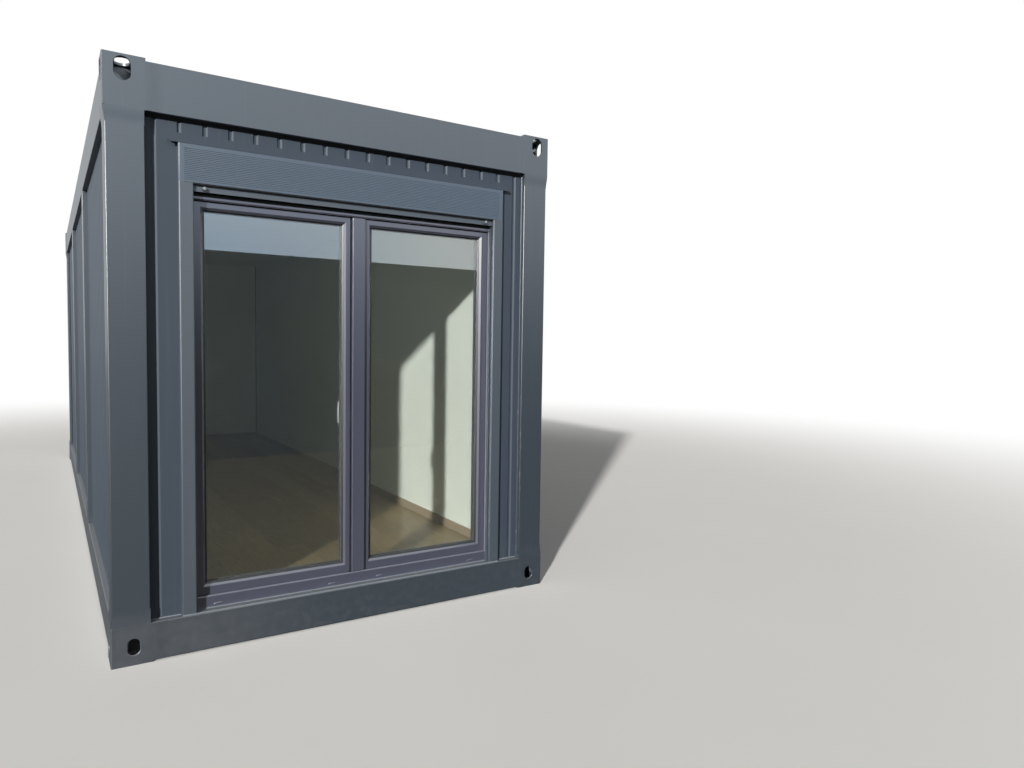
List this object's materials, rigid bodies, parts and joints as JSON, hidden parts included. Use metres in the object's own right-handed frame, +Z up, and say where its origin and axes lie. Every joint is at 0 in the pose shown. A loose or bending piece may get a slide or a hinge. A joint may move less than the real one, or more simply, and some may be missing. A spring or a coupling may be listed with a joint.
{
  "type": "container office cabin",
  "caption": "Flat-roofed steel office cabin on a container frame, with a glazed double door behind a raised roller shutter.",
  "frame": {"origin": "on the ground, in the middle of the cabin's footprint", "axes": "+X across the cabin to the right as seen from the door end, +Y from the door end to the rear end, +Z up"},
  "size_m": [2.435, 7, 2.822],
  "materials": {
    "frame_paint": "satin, weathered",
    "panel_paint": "satin",
    "roof_sheet": "galvanised and painted",
    "joist_steel": "primer",
    "deck_board": "raw board edge",
    "floor_vinyl": "wood pattern",
    "inner_white": "matt white",
    "skirting_plastic": "satin",
    "door_plastic": "fine grained foil",
    "shutter_paint": "satin",
    "hinge_paint": "satin",
    "white_plastic": "moulded",
    "glass": "clear sealed unit"
  },
  "bodies": {
    "cabin": {"top_corner_fitting_front_left": "frame_paint", "bottom_corner_fitting_front_left": "frame_paint", "corner_post_front_left": "frame_paint", "top_corner_fitting_rear_left": "frame_paint", "bottom_corner_fitting_rear_left": "frame_paint", "corner_post_rear_left": "frame_paint", "top_corner_fitting_front_right": "frame_paint", "bottom_corner_fitting_front_right": "frame_paint", "corner_post_front_right": "frame_paint", "top_corner_fitting_rear_right": "frame_paint", "bottom_corner_fitting_rear_right": "frame_paint", "corner_post_rear_right": "frame_paint", "side_posts_left": "frame_paint", "side_wall_left": "panel_paint", "front_wall_left": "panel_paint", "shutter_guide_left": "shutter_paint", "side_posts_right": "frame_paint", "side_wall_right": "panel_paint", "front_wall_right": "panel_paint", "shutter_guide_right": "shutter_paint", "top_rail_front": "frame_paint", "bottom_rail_front": "frame_paint", "top_rail_rear": "frame_paint", "bottom_rail_rear": "frame_paint", "top_rail_left": "frame_paint", "bottom_rail_left": "frame_paint", "top_rail_right": "frame_paint", "bottom_rail_right": "frame_paint", "rear_wall": "panel_paint", "front_wall_over_door": "panel_paint", "floor_joists": "joist_steel", "floor_deck": "deck_board", "floor_covering": "floor_vinyl", "skirting": "skirting_plastic", "ceiling": "inner_white", "roof": "roof_sheet", "door_frame": "door_plastic", "door_hinges": "hinge_paint", "shutter_box": "shutter_paint", "shutter_box_flashing": "panel_paint", "shutter_curtain": "shutter_paint"},
    "left_door": {"left_leaf": "door_plastic", "left_glass": "glass", "door_handle": "white_plastic"},
    "right_door": {"right_leaf": "door_plastic", "right_glass": "glass", "meeting_strip": "door_plastic"}
  },
  "joints": [
    {"name": "left_door_swing", "type": "hinge", "parent": "cabin", "child": "left_door", "pos_m": [-0.8725, -3.335, 0.19], "axis": [0, 0, 1], "range_deg": [0, 90]},
    {"name": "right_door_swing", "type": "hinge", "parent": "cabin", "child": "right_door", "pos_m": [0.8725, -3.335, 0.19], "axis": [0, 0, -1], "range_deg": [0, 90]}
  ]
}
